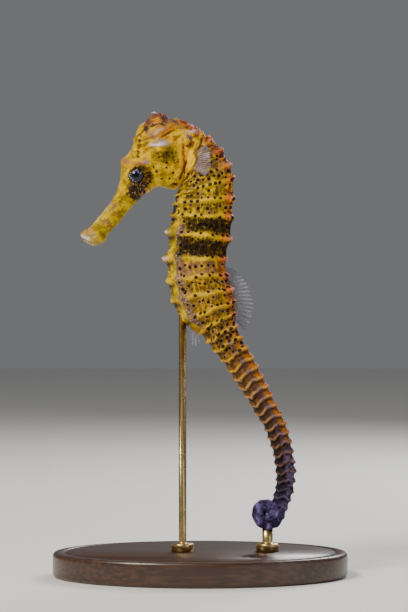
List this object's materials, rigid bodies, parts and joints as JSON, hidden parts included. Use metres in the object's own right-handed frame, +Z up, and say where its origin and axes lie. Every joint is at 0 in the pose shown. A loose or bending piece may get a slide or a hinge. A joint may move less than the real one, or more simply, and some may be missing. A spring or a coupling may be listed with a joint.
{
  "type": "model seahorse",
  "caption": "Life-size still model of a longsnout seahorse, upright with its tail tip coiled, held on an oval display base by slim rods.",
  "frame": {"origin": "centre of the stand base's underside, which rests on the floor", "axes": "+Z up; the head looks along -X, the animal's left side faces -Y, and its middle plane is the XZ plane"},
  "size_m": [0.084, 0.056, 0.1326],
  "materials": {
    "skin_gold": "painted resin skin, golden yellow with black-brown dots and dark saddles, satin",
    "skin_crown": "painted resin skin, mauve brown and orange, satin",
    "skin_ochre": "painted resin skin, ochre and orange with brown hollows, satin",
    "skin_umber": "painted resin skin, umber to slate purple, satin",
    "eye": "clear gloss over a dark painted eye with silvery streaks",
    "fin": "thin translucent membrane with paler rays",
    "stand_wood": "dark stained wood, satin varnish",
    "stand_metal": "satin brass rod, lightly worn"
  },
  "bodies": {
    "root": {"snout": "skin_gold", "head": "skin_gold", "coronet": "skin_crown", "eye_left": "eye", "eye_right": "eye", "neck": "skin_gold", "trunk_upper": "skin_gold", "trunk_lower": "skin_gold", "tail_upper": "skin_ochre", "tail_middle": "skin_ochre", "tail_lower": "skin_umber", "tail_coil": "skin_umber", "pectoral_fin_left": "fin", "pectoral_fin_right": "fin", "dorsal_fin": "fin", "anal_fin": "fin", "stand_base": "stand_wood", "stand_rod_body": "stand_metal", "stand_rod_tail": "stand_metal"}
  },
  "joints": []
}
